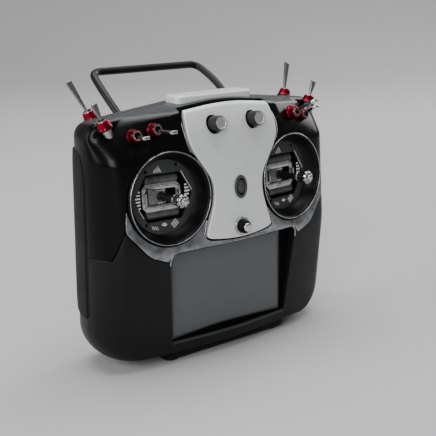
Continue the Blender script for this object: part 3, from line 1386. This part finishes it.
def add_hatch():
    outer = rounded_box(HATCH["half_width"], HATCH["half_height"], 4, 0, HATCH["z"])
    thick = HATCH["thick"]
    own = resampled(offset(outer, -0.6), 1.6)
    panel = sheet([own], polygon_test(own), lambda p: back_surface(p, GAP + thick), 2.4, 0.6, thick - 0.2,
                  facing=1)
    ribs = []
    for k in range(4):
        y = float(back_surface(np.array([[0.0, -74.0]]))[0]) + GAP + thick
        ribs.append(block(30, 1.5, 1.4, (0, y, -74 - 3.4 * k)))
    add_mesh("battery_hatch", *panel, SATIN, "battery_hatch", replaces="battery_hatch", sharp=50)
    bevel(add_mesh("hatch_ribs", *merged(*ribs), SATIN, "battery_hatch"), 0.45, 3)


GRIP_ROUND = {"across": 16.0, "back": 31, "arc": 38.0}  # reach of the corner inwards and backwards
GRIP_RISE, GRIP_SWELL, GRIP_BORDER = 1.15, 0.35, 9  # height over the shell, at the border and inside it


def grip_surface(points, side, rise):
    """Points [distance back from the parting plane, z] carried round a rear corner."""
    u, z = points[:, 0], points[:, 1]
    (top_x, top_z), (low_x, low_z) = CORNER[1], CORNER[2]
    outline_x = top_x + (low_x - top_x) * (top_z - z) / (top_z - low_z)
    turn = np.clip(u / GRIP_ROUND["arc"], 0, 1) * math.pi / 2
    x = outline_x - GRIP_ROUND["across"] * (1 - np.cos(turn)) - np.maximum(0, u - GRIP_ROUND["arc"])
    y = PARTING_Y + (BACK_Y - BACK_CROWN * x * x - PARTING_Y) * np.sin(turn)
    normal = np.stack([np.cos(turn) * GRIP_ROUND["back"], np.sin(turn) * GRIP_ROUND["across"]], 1)
    normal /= np.linalg.norm(normal, axis=1)[:, None]
    return np.stack([side * (x + rise * normal[:, 0]), y + rise * normal[:, 1], z], 1)


def add_grip(label):
    side = SIDES[label]
    line = [(1.6, -79.5), (44, -71.5), (44, 31), (17, 31), (8, 29), (3.4, 22), (1.6, 8)]
    loop = resampled(filleted(line, 5, 5, True), 1.6)
    loop = offset(loop, -1.3)
    inner = grid_points(loop.min(0), loop.max(0), 2.0)
    keep = polygon_test(loop)
    inner = inner[keep(inner)]
    inner = inner[distance_to(inner, [loop]) > 0.9]
    points, tris = triangulate([loop], keep, inner)
    inset = np.minimum(distance_to(points, [loop]), GRIP_BORDER)
    rise = GRIP_RISE + GRIP_SWELL * np.sin(inset / GRIP_BORDER * math.pi / 2)
    if side > 0:
        tris = tris[:, ::-1]
    skin = shell(grip_surface(points, side, rise), tris[:, ::-1], 1.2, 1.3)
    add_mesh(f"grip_pad_{label}", *skin, RUBBER, "casing", replaces=f"grip_pad_{label}", sharp=60)


# ------------------------------------------------------------------ pieces kept from the frame

INSIDE = {
    "lcd_module": PLATE, "main_board": BOARD, "rf_board": BOARD, "battery_pack": WRAP,
    "speaker": PLATE, "potentiometer_left": NICKEL, "potentiometer_right": NICKEL,
}


def paint(node, material):
    slots = frame["nodes"][node].data.materials
    slots.clear()
    slots.append(material)


def paint_inside():
    for node, material in INSIDE.items():
        paint(node, material)
    for kind in TOGGLES:
        for label in SIDES:
            paint(f"switch_{kind}_{label}", NICKEL)


add_beads()
add_badge()
add_power()
add_screen()
add_handle()
add_top_cap()
add_foot()
add_back()
add_hatch()
paint_inside()
for label in SIDES:
    add_knob(label)
    add_stick_unit(label)
    add_grip(label)
    for kind, toggle in TOGGLES.items():
        add_toggle(kind, toggle, label)


# ------------------------------------------------------------------ stage, lights and camera

CAMERA = {
    "place": (-406.82, -468.51, 138.55),
    "target": (-14.73, 0, -18.96),
    "roll": math.radians(-0.22),
    "lens": 79.11,
}


def add_camera():
    place = FACE @ Vector(CAMERA["place"]) * MM
    target = FACE @ Vector(CAMERA["target"]) * MM
    ahead = (target - place).normalized()
    turn = ahead.to_track_quat("-Z", "Y") @ Matrix.Rotation(CAMERA["roll"], 4, "Z").to_quaternion()
    data = bpy.data.cameras.new("camera")
    data.lens = CAMERA["lens"]
    data.sensor_width = 36
    camera = bpy.data.objects.new("camera", data)
    camera.location = place
    camera.rotation_mode = "QUATERNION"
    camera.rotation_quaternion = turn
    bpy.context.scene.collection.objects.link(camera)
    bpy.context.scene.camera = camera


def add_floor():
    """Pale floor that curves up far behind the object."""
    look = Look("satin_shell", "studio_floor", Specular_IOR_Level=0.2)
    look.colour(look.noise(1.2, 2), (0.5, 0.5, 0.505), (0.53, 0.53, 0.535))
    look.rough(look.noise(3), 0.8, 0.95)
    profile = [(-3.0, 0.0), (1.6, 0.0)]
    profile += [(1.6 + 1.2 * math.sin(a), 1.2 - 1.2 * math.cos(a))
                for a in (math.radians(9 * k) for k in range(1, 11))]
    profile.append((2.8, 4.0))
    ahead = Vector((0.642, 0.767, 0))
    across = Vector((ahead.y, -ahead.x, 0))
    mesh = bpy.data.meshes.new("studio_floor")
    points = [ahead * d + across * s + Vector((0, 0, h)) for s in (-4.5, 4.5) for d, h in profile]
    count = len(profile)
    mesh.from_pydata(points, [], [(k, k + 1, count + k + 1, count + k) for k in range(count - 1)])
    mesh.polygons.foreach_set("use_smooth", [True] * len(mesh.polygons))
    mesh.materials.append(look.material)
    floor = bpy.data.objects.new("studio_floor", mesh)
    bpy.context.scene.collection.objects.link(floor)


def add_light(name, place, target, size, power):
    data = bpy.data.lights.new(name, "AREA")
    data.shape = "RECTANGLE"
    data.size, data.size_y = size
    data.energy = power
    light = bpy.data.objects.new(name, data)
    light.location = place
    light.rotation_euler = (Vector(target) - Vector(place)).to_track_quat("-Z", "Y").to_euler()
    bpy.context.scene.collection.objects.link(light)


def add_world(strength):
    world = bpy.data.worlds.new("studio")
    bpy.context.scene.world = world
    world.use_nodes = True
    background = world.node_tree.nodes["Background"]
    background.inputs["Color"].default_value = (1, 1, 1, 1)
    background.inputs["Strength"].default_value = strength


add_camera()
add_floor()
add_light("key", (-1.25, -0.95, 0.75), (0, 0, 0.1), (0.5, 1.0), 14)
add_light("left", (-1.8, 0.5, 0.8), (0, 0, 0.1), (1.2, 1.2), 16)
add_light("top", (0.1, 0.2, 1.8), (0, 0, 0.1), (1.6, 1.6), 32)
add_light("right", (1.6, 0.3, 1.0), (0.3, 0.6, 0.1), (1.0, 1.0), 14)
add_world(0.25)
